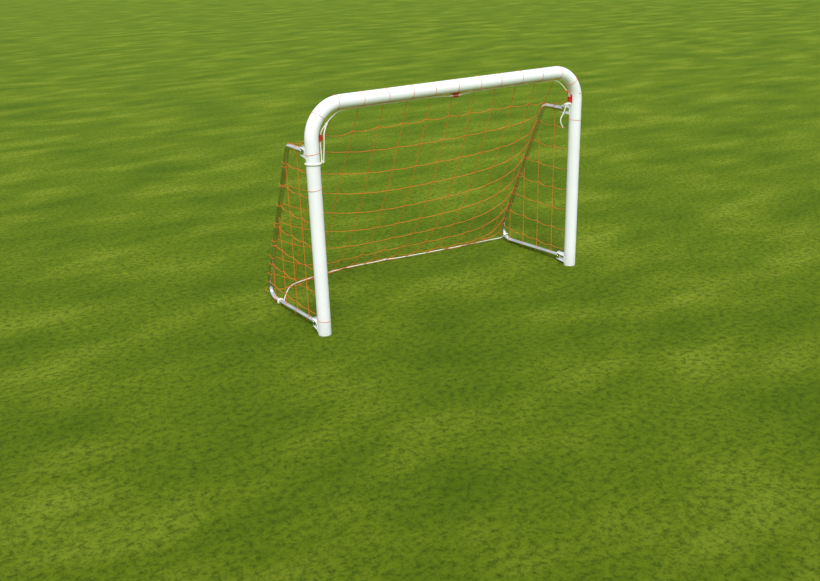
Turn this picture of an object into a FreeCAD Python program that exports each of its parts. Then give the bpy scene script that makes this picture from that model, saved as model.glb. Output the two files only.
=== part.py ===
import FreeCAD, Part
import math
import os

os.makedirs("parts", exist_ok=True)

Vector = FreeCAD.Vector
X_AXIS = Vector(1, 0, 0)
Y_AXIS = Vector(0, 1, 0)
Z_AXIS = Vector(0, 0, 1)

# A folding training goal. It is built with the post axes at Y = 0, the mouth towards -Y and
# the ground at Z = 0, and every piece is shifted to the middle of the depth when it is saved.

# Main frame: one tube bent into an upside-down U
OUTER_WIDTH = 1800.0
HEIGHT = 1220.0
POST_RADIUS = 35.0
POST_WALL = 2.0
BEND_RADIUS = 170.0
POST_X = OUTER_WIDTH / 2 - POST_RADIUS
CROSSBAR_Z = HEIGHT - POST_RADIUS

# Side frames: a thin tube each, hinged behind a post. The foot bar slopes down to the rear, and
# its axis meets the slanted bar's axis at FOOT_CORNER_Z, so that the bend rests on the ground.
HINGE_REACH = 95.0
TOP_HINGE_Z = 950.0
FOOT_HINGE_Z = 34.0
BAR_RADIUS = 13.5
BAR_WALL = 1.8
TOP_BAR_LENGTH = 175.0
FOOT_BAR_LENGTH = 594.0
FOOT_CORNER_Z = 9.0
TOP_CORNER_RADIUS = 45.0
FOOT_CORNER_RADIUS = 75.0
TOP_CORNER = (HINGE_REACH + TOP_BAR_LENGTH, TOP_HINGE_Z)
FOOT_CORNER = (HINGE_REACH + FOOT_BAR_LENGTH, FOOT_CORNER_Z)

# Hinges: a clevis bracket on the post, an eye and bushes on the bar, an M10 bolt and nut
BOLT_RADIUS = 5.0
EYE_RADIUS = 14.0
EYE_BORE_RADIUS = 8.0
EYE_HEIGHT = 30.0
BUSH_BORE_RADIUS = BOLT_RADIUS + 0.06
BUSH_FLANGE = 1.0
BUSH_END_GAP = 0.25
WASHER_RADIUS = 11.0
WASHER_THICKNESS = 0.7
EAR_GAP = 34.0
EAR_THICKNESS = 3.0
EAR_TIP_RADIUS = 16.0
EAR_ROOT_HALF_WIDTH = 30.0
SADDLE_THICKNESS = 3.0
SADDLE_HALF_ANGLE = 70.0
HEX_ACROSS_CORNERS = 18.9
HEAD_HEIGHT = 6.4
NUT_HEIGHT = 8.0
BOLT_TAIL = 2.5
HOLE_CLEARANCE = 0.25
THREAD_CLEARANCE = 0.03
PAINT_GAP = 0.1

# Rope, hooks and net
ROPE_RADIUS = 3.5
HOOK_BEND_ANGLE = 5.0
HOOK_PAD_LENGTH = 50.0
HOOK_PAD_WIDTH = 18.0
HOOK_PAD_THICKNESS = 4.0
HOOK_OUTER_RADIUS = 10.5
HOOK_INNER_RADIUS = 4.5
HOOK_LENGTH = 28.0
HOOK_SLOT = 5.0
RIVET_RADIUS = 2.4
RIVET_HEAD_RADIUS = 4.2
RIVET_HEAD_HEIGHT = 1.8
RIVET_INSET = 5.5
ROPE_OFFSET = POST_RADIUS + PAINT_GAP + HOOK_PAD_THICKNESS + HOOK_OUTER_RADIUS - 1.0
HITCH_Z = 905.0
TAIL_KNOT_Z = 997.0
HITCH_KNOT_RADIUS = 7.0
KNOT_RADIUS = 8.0
KNOT_LENGTH = 42.0
FOOT_KNOT_RADIUS = 6.4
LASHING_RADIUS = 1.0
LASHING_WIDTH = 9.0
LEFT_TIE_Y = 520.0
NET_THICKNESS = 1.6
NET_GAP = 1.5
NET_POST_GAP = 10.0
NET_BRACKET_GAP = 8.0
TOP_NET_FRONT = (POST_RADIUS + 7.0, 1160.0)
NET_RIDGE = (300.0, 964.0)
NET_HEM = (772.0, 16.0)

# The middle of the depth, from the front of the posts to the net's lower edge
DEPTH_CENTRE = (NET_HEM[0] + NET_THICKNESS - POST_RADIUS) / 2


def save(name, shape):
    """Write one piece, shifted so that the origin is the middle of the footprint."""
    placed = shape.copy()
    placed.translate(Vector(0, -DEPTH_CENTRE, 0))
    placed.exportStep("parts/" + name + ".step")
    box = placed.optimalBoundingBox(False, False)
    print("%-22s solids %2d  X %8.1f %8.1f  Y %7.1f %7.1f  Z %7.1f %7.1f  valid %s" % (
        name, len(placed.Solids), box.XMin, box.XMax, box.YMin, box.YMax, box.ZMin, box.ZMax,
        placed.isValid()))


def cylinder(radius, height, base, axis=Z_AXIS):
    return Part.makeCylinder(radius, height, base, axis)


def rounded_edges(points, radii, closed=False):
    """Straight edges through the points, with a tangent arc of the given radius at each corner."""
    count = len(points)
    corners = range(count) if closed else range(1, count - 1)
    entries = {i: points[i] for i in range(count)}
    exits = dict(entries)
    arcs = {}
    for i in corners:
        before = (points[i] - points[i - 1]).normalize()
        after = (points[(i + 1) % count] - points[i]).normalize()
        half_turn = before.getAngle(after) / 2
        if radii[i] == 0 or half_turn < 1e-6:
            continue
        setback = radii[i] * math.tan(half_turn)
        inward = (after - before).normalize()
        entries[i] = points[i] - before * setback
        exits[i] = points[i] + after * setback
        middle = points[i] + inward * (radii[i] / math.cos(half_turn) - radii[i])
        arcs[i] = Part.Arc(entries[i], middle, exits[i]).toShape()
    edges = []
    for i in range(count):
        if i in arcs:
            edges.append(arcs[i])
        if closed or i < count - 1:
            edges.append(Part.LineSegment(exits[i], entries[(i + 1) % count]).toShape())
    return edges


def sweep_round(edges, radius):
    """A round bar along a path of straight and arc edges."""
    path = Part.Wire(edges)
    start = edges[0].valueAt(edges[0].FirstParameter)
    direction = edges[0].tangentAt(edges[0].FirstParameter)
    profile = Part.Wire([Part.Circle(start, direction, radius).toShape()])
    return path.makePipeShell([profile], True, True)


def prism(points, thickness, axis):
    """A flat plate: the closed outline through the points, thickened along the axis."""
    outline = Part.Wire([Part.LineSegment(points[i - 1], points[i]).toShape()
                         for i in range(len(points))])
    return Part.Face(outline).extrude(axis * thickness)


def hexagon(height, base):
    corners = [base + Vector(math.cos(math.radians(60 * i)), math.sin(math.radians(60 * i)), 0)
               * (HEX_ACROSS_CORNERS / 2) for i in range(6)]
    return prism(corners, height, Z_AXIS)


def hinge_point(side, height):
    return Vector(side * POST_X, HINGE_REACH, height)


def u_path(inset, left_foot_z, right_foot_z):
    """The U of the main frame, or a line that runs inside it at a distance."""
    x = POST_X - inset
    top = CROSSBAR_Z - inset
    corner_radius = BEND_RADIUS - inset
    points = [Vector(-x, 0, left_foot_z), Vector(-x, 0, top), Vector(x, 0, top),
              Vector(x, 0, right_foot_z)]
    return rounded_edges(points, [0, corner_radius, corner_radius, 0])


def main_frame_tube():
    edges = u_path(0, 0, 0)
    return sweep_round(edges, POST_RADIUS).cut(sweep_round(edges, POST_RADIUS - POST_WALL))


def hinge_bracket(side, height):
    """A pressed clevis: a saddle that hugs the back of the post, and two ears for the bolt."""
    low = height - EAR_GAP / 2 - EAR_THICKNESS
    tall = EAR_GAP + 2 * EAR_THICKNESS
    post_centre = Vector(0, 0, low)
    inner = POST_RADIUS + PAINT_GAP
    saddle_start = Vector(math.cos(math.radians(90 - SADDLE_HALF_ANGLE)),
                          math.sin(math.radians(90 - SADDLE_HALF_ANGLE)), 0)
    section = Part.LineSegment(saddle_start * inner,
                               saddle_start * (inner + SADDLE_THICKNESS)).toShape()
    saddle = section.revolve(Vector(0, 0, 0), Z_AXIS, 2 * SADDLE_HALF_ANGLE)
    bracket = saddle.extrude(Z_AXIS * tall)
    bracket.translate(post_centre)
    ear_levels = (low, low + EAR_THICKNESS + EAR_GAP)
    for ear_z in ear_levels:
        bracket = bracket.fuse(hinge_ear(ear_z, inner))
    hole = cylinder(BOLT_RADIUS + HOLE_CLEARANCE, tall, Vector(0, HINGE_REACH, low))
    bracket = bracket.cut(hole).removeSplitter()
    bracket.translate(Vector(side * POST_X, 0, 0))
    return bracket


def hinge_ear(ear_z, inner):
    """One flat ear, tapering from the saddle to a round tip about the bolt."""
    slope = math.asin((EAR_ROOT_HALF_WIDTH - EAR_TIP_RADIUS) / (HINGE_REACH - EAR_ROOT_HALF_WIDTH))
    tip_x = EAR_TIP_RADIUS * math.cos(slope)
    tip_y = HINGE_REACH + EAR_TIP_RADIUS * math.sin(slope)
    root_y = POST_RADIUS / 2
    corners = [Vector(-EAR_ROOT_HALF_WIDTH, root_y, ear_z), Vector(EAR_ROOT_HALF_WIDTH, root_y, ear_z),
               Vector(tip_x, tip_y, ear_z), Vector(-tip_x, tip_y, ear_z)]
    plate = prism(corners, EAR_THICKNESS, Z_AXIS)
    tip = cylinder(EAR_TIP_RADIUS, EAR_THICKNESS, Vector(0, HINGE_REACH, ear_z))
    post_room = cylinder(inner, EAR_THICKNESS, Vector(0, 0, ear_z))
    return plate.fuse(tip).cut(post_room)


def hinge_bolt(point):
    """Hexagon head above the upper ear, shank down through both ears and the nut."""
    ear_top = EAR_GAP / 2 + EAR_THICKNESS
    shank_length = 2 * ear_top + NUT_HEIGHT + BOLT_TAIL
    shank = cylinder(BOLT_RADIUS, shank_length, point + Vector(0, 0, ear_top - shank_length))
    return shank.fuse(hexagon(HEAD_HEIGHT, point + Vector(0, 0, ear_top)))


def hinge_nut(point):
    base = point - Vector(0, 0, EAR_GAP / 2 + EAR_THICKNESS + NUT_HEIGHT)
    bore = cylinder(BOLT_RADIUS + THREAD_CLEARANCE, NUT_HEIGHT, base)
    return hexagon(NUT_HEIGHT, base).cut(bore)


def hinge_washers(point):
    """One washer against the inside of each ear."""
    washers = []
    for base_z in (-EAR_GAP / 2, EAR_GAP / 2 - WASHER_THICKNESS):
        base = point + Vector(0, 0, base_z)
        disc = cylinder(WASHER_RADIUS, WASHER_THICKNESS, base)
        washers.append(disc.cut(cylinder(BOLT_RADIUS + HOLE_CLEARANCE, WASHER_THICKNESS, base)))
    return washers


def side_frame_path(side):
    x = side * POST_X
    points = [Vector(x, HINGE_REACH, TOP_HINGE_Z), Vector(x, *TOP_CORNER),
              Vector(x, *FOOT_CORNER), Vector(x, HINGE_REACH, FOOT_HINGE_Z)]
    return rounded_edges(points, [0, TOP_CORNER_RADIUS, FOOT_CORNER_RADIUS, 0])


def side_frame_tube(side):
    """The bent bar, coped at both ends to sit against its hinge eyes."""
    edges = side_frame_path(side)
    tube = sweep_round(edges, BAR_RADIUS).cut(sweep_round(edges, BAR_RADIUS - BAR_WALL))
    for height in (TOP_HINGE_Z, FOOT_HINGE_Z):
        cope_height = 4 * BAR_RADIUS
        base = hinge_point(side, height - cope_height / 2)
        tube = tube.cut(cylinder(EYE_RADIUS, cope_height, base))
    return tube


def hinge_eye(point):
    base = point - Vector(0, 0, EYE_HEIGHT / 2)
    return cylinder(EYE_RADIUS, EYE_HEIGHT, base).cut(cylinder(EYE_BORE_RADIUS, EYE_HEIGHT, base))


def hinge_bushes(point):
    """Two flanged nylon bushes, pushed into the eye from above and below."""
    bushes = []
    for direction in (-1, 1):
        middle = point + Vector(0, 0, BUSH_END_GAP * direction)
        sleeve_length = EYE_HEIGHT / 2 - BUSH_END_GAP
        axis = Z_AXIS * direction
        flange_base = point + Vector(0, 0, direction * EYE_HEIGHT / 2)
        sleeve = cylinder(EYE_BORE_RADIUS, sleeve_length, middle, axis)
        flange = cylinder(WASHER_RADIUS, BUSH_FLANGE, flange_base, axis)
        bore = cylinder(BUSH_BORE_RADIUS, EYE_HEIGHT, point, axis)
        bushes.append(sleeve.fuse(flange).cut(bore))
    return bushes


def slant_y(z):
    """Where the slanted bar's straight axis would be at a height."""
    fall = (TOP_CORNER[1] - z) / (TOP_CORNER[1] - FOOT_CORNER[1])
    return TOP_CORNER[0] + fall * (FOOT_CORNER[0] - TOP_CORNER[0])


def foot_bar_z(y):
    along = (y - HINGE_REACH) / FOOT_BAR_LENGTH
    return FOOT_HINGE_Z + along * (FOOT_CORNER_Z - FOOT_HINGE_Z)


def side_net(side):
    """The net inside a side frame, as a thin panel notched round both brackets."""
    inset = BAR_RADIUS + NET_GAP
    slant_slope = (FOOT_CORNER[0] - TOP_CORNER[0]) / (TOP_CORNER[1] - FOOT_CORNER[1])
    foot_slope = (FOOT_CORNER_Z - FOOT_HINGE_Z) / FOOT_BAR_LENGTH
    slant_inset = inset * math.hypot(1, slant_slope)
    front = POST_RADIUS + NET_POST_GAP
    notch_y = HINGE_REACH + EYE_RADIUS + NET_BRACKET_GAP
    notch_z = EAR_GAP / 2 + EAR_THICKNESS + NUT_HEIGHT + NET_BRACKET_GAP
    top_z = TOP_HINGE_Z - inset
    edge_y_at_foot_hinge = slant_y(FOOT_HINGE_Z + inset) - slant_inset
    foot_y = ((edge_y_at_foot_hinge + slant_slope * foot_slope * HINGE_REACH)
              / (1 + slant_slope * foot_slope))
    outline = [(front, FOOT_HINGE_Z + notch_z), (notch_y, FOOT_HINGE_Z + notch_z),
               (notch_y, foot_bar_z(notch_y) + inset), (foot_y, foot_bar_z(foot_y) + inset),
               (slant_y(top_z) - slant_inset, top_z), (notch_y, top_z),
               (notch_y, TOP_HINGE_Z - notch_z), (front, TOP_HINGE_Z - notch_z)]
    radii = [0, 0, 0, FOOT_CORNER_RADIUS - inset, TOP_CORNER_RADIUS - inset, 0, 0, 0]
    x = side * POST_X - NET_THICKNESS / 2
    edges = rounded_edges([Vector(x, y, z) for y, z in outline], radii, closed=True)
    panel = Part.Face(Part.Wire(edges)).extrude(X_AXIS * NET_THICKNESS)
    tie_place = foot_tie_frame(side)[0]
    tie_room = Part.makeSphere(BAR_RADIUS + 2 * ROPE_RADIUS + NET_GAP, tie_place)
    return panel.cut(tie_room)


def sloping_net(upper, lower, half_width):
    """A rectangular net panel between two level edges, given as (Y, Z)."""
    x = -half_width
    corners = [Vector(x, upper[0], upper[1]), Vector(x, upper[0] + NET_THICKNESS, upper[1]),
               Vector(x, lower[0] + NET_THICKNESS, lower[1]), Vector(x, lower[0], lower[1])]
    return prism(corners, 2 * half_width, X_AXIS)


def top_side_net(side):
    """The small triangle of net above a side frame, under the top panel."""
    low_z = TOP_HINGE_Z + EAR_GAP / 2 + EAR_THICKNESS + HEAD_HEIGHT + NET_BRACKET_GAP
    front, top_z = TOP_NET_FRONT
    slope = (NET_RIDGE[0] - front) / (top_z - NET_RIDGE[1])
    rear = front + slope * (top_z - low_z)
    x = side * POST_X - NET_THICKNESS / 2
    corners = [Vector(x, front, low_z), Vector(x, front, top_z), Vector(x, rear, low_z)]
    return prism(corners, NET_THICKNESS, X_AXIS)


def net_hook():
    """A moulded hook on top of a tube that runs along X: a pad and an open loop."""
    pad_half = HOOK_PAD_LENGTH / 2
    pad_top = POST_RADIUS + PAINT_GAP + HOOK_PAD_THICKNESS
    pad_height = 2 * HOOK_PAD_THICKNESS
    pad = Part.makeBox(HOOK_PAD_LENGTH, HOOK_PAD_WIDTH, pad_height,
                       Vector(-pad_half, -HOOK_PAD_WIDTH / 2, pad_top - pad_height))
    loop_start = Vector(-HOOK_LENGTH / 2, 0, ROPE_OFFSET)
    loop = cylinder(HOOK_OUTER_RADIUS, HOOK_LENGTH, loop_start, X_AXIS)
    body = pad.fuse(loop).cut(cylinder(HOOK_INNER_RADIUS, HOOK_LENGTH, loop_start, X_AXIS))
    slot = Part.makeBox(HOOK_LENGTH, 2 * HOOK_OUTER_RADIUS, HOOK_SLOT,
                        Vector(-HOOK_LENGTH / 2, 0, ROPE_OFFSET - HOOK_SLOT / 2))
    body = body.cut(slot)
    for x in (-pad_half + RIVET_INSET, pad_half - RIVET_INSET):
        hole = cylinder(RIVET_RADIUS + PAINT_GAP, 4 * HOOK_PAD_THICKNESS,
                        Vector(x, 0, POST_RADIUS - HOOK_PAD_THICKNESS))
        body = body.cut(hole)
    return body


def hook_rivets():
    """Two rivets that hold a hook's pad."""
    rivets = []
    pad_top = POST_RADIUS + PAINT_GAP + HOOK_PAD_THICKNESS
    for x in (-HOOK_PAD_LENGTH / 2 + RIVET_INSET, HOOK_PAD_LENGTH / 2 - RIVET_INSET):
        shank = cylinder(RIVET_RADIUS, HOOK_PAD_THICKNESS, Vector(x, 0, pad_top - HOOK_PAD_THICKNESS))
        head = Part.makeCone(RIVET_HEAD_RADIUS, RIVET_RADIUS, RIVET_HEAD_HEIGHT,
                             Vector(x, 0, pad_top))
        rivets.append(shank.fuse(head))
    return rivets


def into_bend(shape, side):
    """Place a hook inside a bend, a little way round it from the top of the straight post."""
    placed = shape.copy()
    placed.rotate(Vector(0, 0, 0), Y_AXIS, -90 * side)
    placed.translate(Vector(side * POST_X, 0, CROSSBAR_Z - BEND_RADIUS))
    bend_centre = Vector(side * (POST_X - BEND_RADIUS), 0, CROSSBAR_Z - BEND_RADIUS)
    placed.rotate(bend_centre, Y_AXIS, -side * HOOK_BEND_ANGLE)
    return placed


def on_left_bend(shape):
    return into_bend(shape, -1)


def on_right_bend(shape):
    return into_bend(shape, 1)


def under_crossbar(shape):
    placed = shape.copy()
    placed.rotate(Vector(0, 0, 0), X_AXIS, 180)
    placed.translate(Vector(0, 0, CROSSBAR_Z))
    return placed


def border_rope():
    """The rope inside the U, from its hitch on the left post to its knot on the right."""
    hitch_top = HITCH_Z + ROPE_RADIUS + 0.1
    knot_top = TAIL_KNOT_Z + KNOT_RADIUS
    return sweep_round(u_path(ROPE_OFFSET, hitch_top, knot_top), ROPE_RADIUS)


def border_rope_hitch():
    """The turn of rope round the left post, and the knot that the rope rises from."""
    ring = Part.makeTorus(POST_RADIUS + ROPE_RADIUS + 0.2, ROPE_RADIUS,
                          Vector(-POST_X, 0, HITCH_Z), Z_AXIS)
    knot_x = -POST_X + ROPE_OFFSET
    knot_height = 2 * ROPE_RADIUS
    base = Vector(knot_x, 0, HITCH_Z + ROPE_RADIUS + 0.1 - knot_height)
    return ring.fuse(cylinder(HITCH_KNOT_RADIUS, knot_height, base))


def border_rope_knot():
    """A knot wider than it is tall, that reaches from under the rope towards the mouth's middle."""
    outer_end = Vector(POST_X - ROPE_OFFSET + KNOT_RADIUS, 0, TAIL_KNOT_Z)
    return cylinder(KNOT_RADIUS, KNOT_LENGTH, outer_end, -X_AXIS)


def cord(name, points):
    """A limp rope: straight runs joined by tangent arcs as large as the runs allow."""
    radii = [0] * len(points)
    for i in range(1, len(points) - 1):
        before = points[i] - points[i - 1]
        after = points[i + 1] - points[i]
        shorter = min(before.Length, after.Length)
        radii[i] = 0.45 * shorter / math.tan(before.getAngle(after) / 2)
    edges = rounded_edges(points, radii)
    solid = sweep_round(edges, ROPE_RADIUS)
    length = sum(edge.Length for edge in edges)
    section = math.pi * ROPE_RADIUS ** 2
    print("%s: length %.0f, volume / (section x length) %.4f, radii %s" % (
        name, length, solid.Volume / (section * length), [round(r) for r in radii[1:-1]]))
    return solid


# Routes of the free ropes, each from where it leaves its knot
ROPE_Z = ROPE_RADIUS + 0.2
KNOT_Z = 7.4
LEFT_GROUND_ROUTE = [
    (-841.8, 526.3, 9.9), (-837.5, 536, 5.5), (-829, 552, ROPE_Z), (-793, 610, ROPE_Z),
    (-744, 680, ROPE_Z), (-700, 733, ROPE_Z), (-655, 760, ROPE_Z), (-600, 773, ROPE_Z), (-520, 787, ROPE_Z),
    (-430, 802, ROPE_Z), (-345, 809, ROPE_Z), (-265, 810, ROPE_Z), (-190, 804, ROPE_Z),
    (-120, 795, ROPE_Z), (-62, 786, 4.6), (-12, 779, KNOT_Z)]
RIGHT_GROUND_ROUTE = [
    (865, 645, 20), (864, 657, 13), (858, 668, 6), (845, 674, ROPE_Z), (820, 679, ROPE_Z),
    (770, 684, ROPE_Z), (695, 690, ROPE_Z), (606, 698, ROPE_Z), (507, 707, ROPE_Z),
    (408, 719, ROPE_Z), (310, 731, ROPE_Z), (212, 744, ROPE_Z), (124, 757, ROPE_Z),
    (62, 767, 5), (12, 775, KNOT_Z)]
TAIL_X = POST_X - ROPE_OFFSET + KNOT_RADIUS - KNOT_LENGTH
TAIL_ROUTE = [
    (TAIL_X + 5, 0, TAIL_KNOT_Z - KNOT_RADIUS - 0.3), (TAIL_X + 3, 1, TAIL_KNOT_Z - 30),
    (TAIL_X - 5, 5, TAIL_KNOT_Z - 54), (TAIL_X - 21, 9, TAIL_KNOT_Z - 77),
    (TAIL_X - 24, 7, TAIL_KNOT_Z - 104), (TAIL_X - 8, 2, TAIL_KNOT_Z - 133)]


def vectors(points):
    return [Vector(*point) for point in points]


def ground_rope_knot():
    """The knot in the middle of the ground rope, where its two halves are tied."""
    left_end = Vector(*LEFT_GROUND_ROUTE[-1])
    right_end = Vector(*RIGHT_GROUND_ROUTE[-1])
    return cylinder(2 * ROPE_RADIUS, (right_end - left_end).Length, left_end, right_end - left_end)


def foot_tie_frame(side):
    """Where the ground rope is tied: a point on the bar's axis, the bar's direction there, and
    the direction of the knot. On the left it is ahead of the bend, with the knot on the inner
    side. On the right it is half-way round the bend, with the knot at the back."""
    x = side * POST_X
    corner = Vector(x, *FOOT_CORNER)
    along_foot = (Vector(x, HINGE_REACH, FOOT_HINGE_Z) - corner).normalize()
    if side < 0:
        return Vector(x, LEFT_TIE_Y, foot_bar_z(LEFT_TIE_Y)), along_foot, X_AXIS
    up_slant = (Vector(x, *TOP_CORNER) - corner).normalize()
    half_angle = up_slant.getAngle(along_foot) / 2
    inward = (up_slant + along_foot).normalize()
    bend_centre = corner + inward * (FOOT_CORNER_RADIUS / math.sin(half_angle))
    outward = Vector(0, 1, -1).normalize()
    return bend_centre + outward * FOOT_CORNER_RADIUS, Vector(0, 1, 1).normalize(), outward


def foot_tie(side):
    """The ground rope's tie: rope over the top of the bar, thin lashing all round and a knot."""
    on_bar, along_bar, outward = foot_tie_frame(side)
    rope = Part.makeTorus(BAR_RADIUS + ROPE_RADIUS + 0.4, ROPE_RADIUS, on_bar, along_bar)
    reach = 2 * BAR_RADIUS
    underside = Part.makeBox(2 * reach, 2 * reach, reach,
                             on_bar - Vector(reach, reach, reach + BAR_RADIUS / 2))
    lashing_start = on_bar - along_bar * (LASHING_WIDTH / 2)
    lashing = cylinder(BAR_RADIUS + 2 * LASHING_RADIUS, LASHING_WIDTH, lashing_start, along_bar)
    knot = Part.makeSphere(FOOT_KNOT_RADIUS, on_bar + outward * (BAR_RADIUS + ROPE_RADIUS + 1))
    bar_room = cylinder(BAR_RADIUS + 0.3, 2 * reach, on_bar - along_bar * reach, along_bar)
    return rope.cut(underside).fuse([lashing, knot]).cut(bar_room)


save("main_frame_tube", main_frame_tube())

hinge_points = []
for side, side_name in ((-1, "left"), (1, "right")):
    save(side_name + "_upper_bracket", hinge_bracket(side, TOP_HINGE_Z))
    save(side_name + "_lower_bracket", hinge_bracket(side, FOOT_HINGE_Z))
    upper = hinge_point(side, TOP_HINGE_Z)
    lower = hinge_point(side, FOOT_HINGE_Z)
    hinge_points += [upper, lower]
    save(side_name + "_side_tube", side_frame_tube(side))
    save(side_name + "_upper_eye", hinge_eye(upper))
    save(side_name + "_lower_eye", hinge_eye(lower))
    save(side_name + "_hinge_bushes", Part.makeCompound(hinge_bushes(upper) + hinge_bushes(lower)))
    save(side_name + "_side_net", side_net(side))
    save(side_name + "_foot_tie", foot_tie(side))
    save(side_name + "_top_side_net", top_side_net(side))

save("hinge_bolts", Part.makeCompound([hinge_bolt(point) for point in hinge_points]))
save("hinge_nuts", Part.makeCompound([hinge_nut(point) for point in hinge_points]))
save("hinge_washers", Part.makeCompound(sum([hinge_washers(point) for point in hinge_points], [])))

tube_room = sweep_round(u_path(0, 0, 0), POST_RADIUS + PAINT_GAP)
hook_places = (("left_net_hook", on_left_bend), ("crossbar_net_hook", under_crossbar),
               ("right_net_hook", on_right_bend))
for hook_name, place in hook_places:
    save(hook_name, place(net_hook()).cut(tube_room))
save("hook_rivets", Part.makeCompound([place(rivet).cut(tube_room) for _, place in hook_places
                                       for rivet in hook_rivets()]))

save("top_net", sloping_net(TOP_NET_FRONT, NET_RIDGE, POST_X - NET_THICKNESS / 2))
save("rear_net", sloping_net((NET_RIDGE[0], NET_RIDGE[1] - 2), NET_HEM, POST_X + 10))
save("border_rope", border_rope())
save("border_rope_hitch", border_rope_hitch())
save("border_rope_knot", border_rope_knot())
save("border_rope_tail", cord("border_rope_tail", vectors(TAIL_ROUTE)))
save("left_ground_rope", cord("left_ground_rope", vectors(LEFT_GROUND_ROUTE)))
save("right_ground_rope", cord("right_ground_rope", vectors(RIGHT_GROUND_ROUTE)))
save("ground_rope_knot", ground_rope_knot())
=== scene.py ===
import math
import random

import bpy
import numpy as np
from mathutils import Matrix, Vector


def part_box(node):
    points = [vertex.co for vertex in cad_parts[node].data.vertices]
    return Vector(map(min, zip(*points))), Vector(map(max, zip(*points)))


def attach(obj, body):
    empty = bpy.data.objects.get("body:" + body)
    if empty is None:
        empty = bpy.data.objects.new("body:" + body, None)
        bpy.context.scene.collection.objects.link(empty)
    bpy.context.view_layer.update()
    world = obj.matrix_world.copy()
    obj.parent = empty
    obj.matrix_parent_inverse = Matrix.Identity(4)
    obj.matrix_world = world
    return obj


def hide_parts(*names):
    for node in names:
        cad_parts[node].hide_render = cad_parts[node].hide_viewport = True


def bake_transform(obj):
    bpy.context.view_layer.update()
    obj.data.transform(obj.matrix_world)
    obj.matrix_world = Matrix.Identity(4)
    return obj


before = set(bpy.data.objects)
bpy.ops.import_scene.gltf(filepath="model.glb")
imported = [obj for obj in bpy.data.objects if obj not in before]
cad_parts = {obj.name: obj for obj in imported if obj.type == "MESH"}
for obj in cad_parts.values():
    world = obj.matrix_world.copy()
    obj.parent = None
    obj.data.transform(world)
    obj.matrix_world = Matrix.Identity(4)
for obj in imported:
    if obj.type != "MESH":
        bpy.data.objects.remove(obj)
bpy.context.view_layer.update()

# Looks for a folding training goal. Everything is in metres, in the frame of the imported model:
# X along the crossbar, Y from the mouth to the back, Z up from the ground.

# The main frame's tube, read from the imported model
tube_low, tube_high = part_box("main_frame_tube")
POST_RADIUS = (tube_high[1] - tube_low[1]) / 2
POST_X = tube_high[0] - POST_RADIUS
POST_Y = (tube_low[1] + tube_high[1]) / 2
CROSSBAR_Z = tube_high[2] - POST_RADIUS
BEND_RADIUS = 0.17
BEND_X = POST_X - BEND_RADIUS
BEND_Z = CROSSBAR_Z - BEND_RADIUS

# The side frames, as (Y, Z) in the plane of each
BAR_RADIUS = 0.0135
HINGE_Y = POST_Y + 0.095
TOP_BAR_Z = 0.95
FOOT_HINGE_Z = 0.034
EYE_RADIUS = 0.014
TOP_CORNER = (POST_Y + 0.27, TOP_BAR_Z)
TOP_BAR_END_Y = TOP_CORNER[0] - 0.03
FOOT_CORNER = (POST_Y + 0.689, 0.009)
FOOT_BEND_RADIUS = 0.075
SLANT_DIRECTION = (0, FOOT_CORNER[0] - TOP_CORNER[0], FOOT_CORNER[1] - TOP_CORNER[1])
FOOT_DIRECTION = (0, FOOT_CORNER[0] - HINGE_Y, FOOT_CORNER[1] - FOOT_HINGE_Z)

# Twine and rope
TWINE_RADIUS = 0.0014
TWINE_KNOT_SIZE = 0.0052
LACING_RADIUS = 0.0009
LASHING_RADIUS = 0.001
ROPE_RADIUS = 0.0035
ROPE_OFFSET = 0.0486
HITCH_Z = 0.905
TAIL_KNOT_Z = 0.997
KNOT_RADIUS = 0.008
KNOT_LENGTH = 0.042
ROPE_SIDES = 12
ROPE_STEP = 0.002
ROPE_KNOT_PARTS = 72
BRAID_PITCH = 0.016
LEFT_TIE_Y = POST_Y + 0.52

# The rope over a side frame's bar at a foot tie, in degrees round the bar
TIE_START = -25
TIE_SWEEP = 230
TIE_STEPS = 40

# Weld beads: the scales' pitch, the beads' radii, and where a bracket's saddle ends on the post
SCALE_PITCH = 0.0026
WELD_SIDES = 8
EYE_WELD_RADIUS = 0.0016
EYE_WELD_PARTS = 48
SADDLE_WELD_RADIUS = 0.0017
SADDLE_WELD_OFFSET = 0.0012
SADDLE_WELD_FORWARD = 0.0008
SADDLE_WELD_STEP = 0.0008
SADDLE_EDGE_ANGLE = math.radians(20)

# The net's mesh: cells across the goal, rows from the crossbar to the ground, the side mesh, and
# how near the edge comes to the ground and a knot to a bar. The higher the edge's pull, the fewer
# columns lean toward the side bars. A clearance from the steep slanted bar is 2.4 times as long
# when it is taken straight down.
COLUMNS = 12
ROWS = 10
CORNER_ROW = 2
SIDE_MESH = 0.135
SIDE_COLUMNS = 5
SIDE_ROWS = 7
SIDE_LOW_ROW = 0.10
SIDE_ROW_STEP = 0.93 * SIDE_MESH
EDGE_LOW_Z = 0.045
KNOT_TO_BAR = 0.045
EDGE_PULL = 4
BELOW_SLANT = 2.4
STRAND_PARTS = 4
DROP_SLACK = -0.002
CROSS_SLACK = 0.020
UNEVEN = 0.010

# Where on the crossbar the net leaves it and the lacing's runs lie, as directions from its axis
NET_LEAVES_BAR = (0, 0.6, -0.8)
LACING_RUN_SIDE = (0, -0.45, -0.9)

# Heights of the few turns of twine round each post, and how far round the bends the others are
POST_TURNS = {-1: (0.955, 0.778, 0.082), 1: (1.055, 0.900)}
BEND_LACING_ANGLE = math.radians(48)
BEND_LACING_LEAN = 0.15

# The turns of twine round the rope near the right hook
WHIPPING_PLACE = (0.797, 0, 1.069)
WHIPPING_DIRECTION = (-0.7, 0, 0.714)

# The part of the rear net that follows a side frame: the share of the height over which it
# starts to, its width at the crossbar, and how much wider it is at the ground
FOLLOW_START = 0.19
FOLLOW_WIDTH = 0.12
FOLLOW_GROWTH = 0.70

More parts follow.
